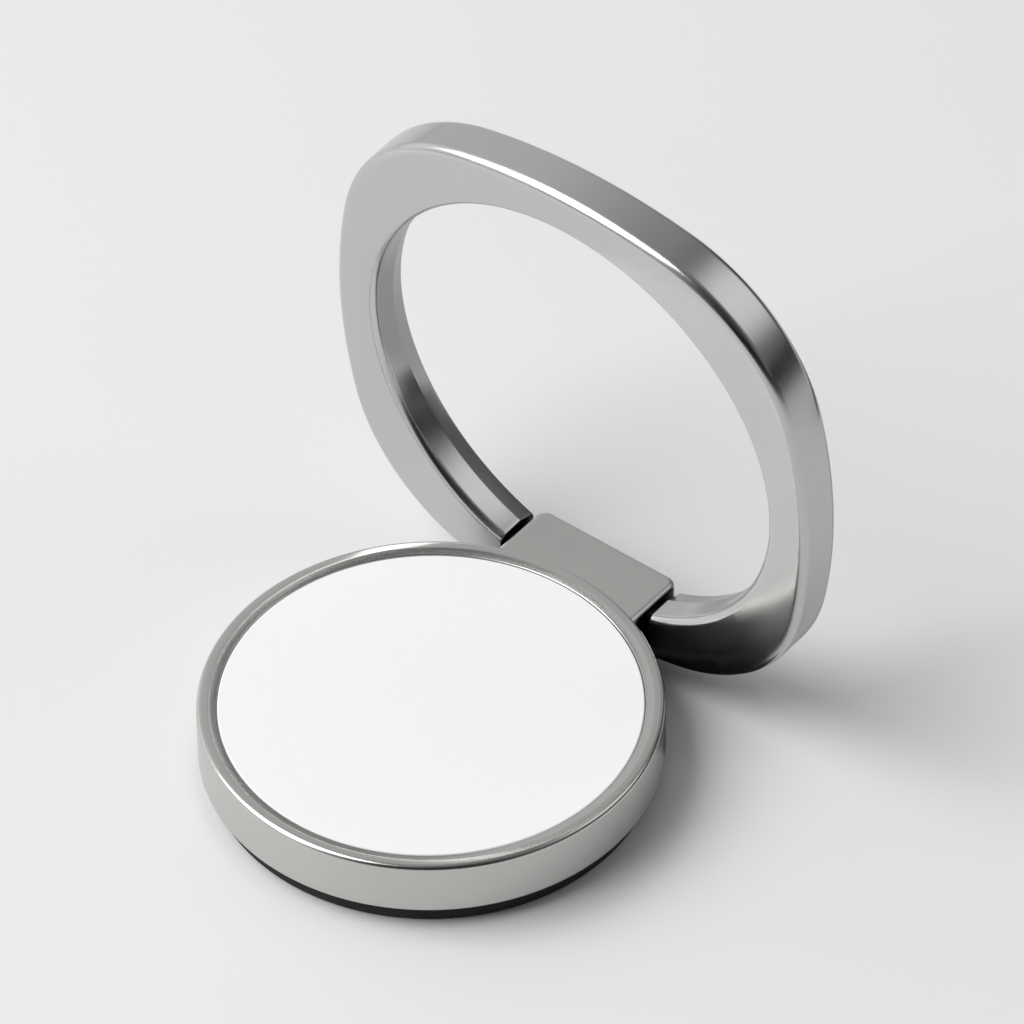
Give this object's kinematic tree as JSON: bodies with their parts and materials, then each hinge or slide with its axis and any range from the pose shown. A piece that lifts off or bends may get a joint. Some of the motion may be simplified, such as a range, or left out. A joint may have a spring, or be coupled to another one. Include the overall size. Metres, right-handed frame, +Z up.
{
  "type": "phone ring holder",
  "caption": "Stick-on phone ring holder: low round metal disc with a white inlay that swivels on its pad, and a polished cushion-shaped finger ring hinged at its edge.",
  "frame": {"origin": "on the disc's axis, at the underside of the adhesive pad", "axes": "+Z up out of the mounting surface along the swivel axis, +Y towards the hinge lug, +X along the hinge pin"},
  "size_m": [0.0292, 0.0258, 0.0299],
  "materials": {
    "pad_foam": "matt black closed-cell foam with adhesive faces",
    "spring_steel": "bright rolled steel",
    "washer_nylon": "natural nylon",
    "satin_nickel": "satin nickel plate on a zinc casting, with a bright rim",
    "white_inlay": "smooth white lacquer",
    "polished_nickel": "polished nickel plate on a zinc casting"
  },
  "bodies": {
    "base": {"adhesive_pad": "pad_foam", "base_plate": "spring_steel", "swivel_rivet": "spring_steel", "slip_washer": "washer_nylon", "disc_spring": "spring_steel"},
    "holder": {"holder_body": "satin_nickel", "inlay": "white_inlay", "friction_sleeve": "spring_steel"},
    "ring": {"finger_ring": "polished_nickel", "hinge_pin": "spring_steel"}
  },
  "joints": [
    {"name": "swivel", "type": "hinge", "parent": "base", "child": "holder", "pos_m": [0, 0, 0], "axis": [0, 0, 1], "continuous": true},
    {"name": "ring_hinge", "type": "hinge", "parent": "holder", "child": "ring", "pos_m": [0, 0.01265, 0.0026], "axis": [1, 0, 0], "range_deg": [-92, 88]}
  ]
}
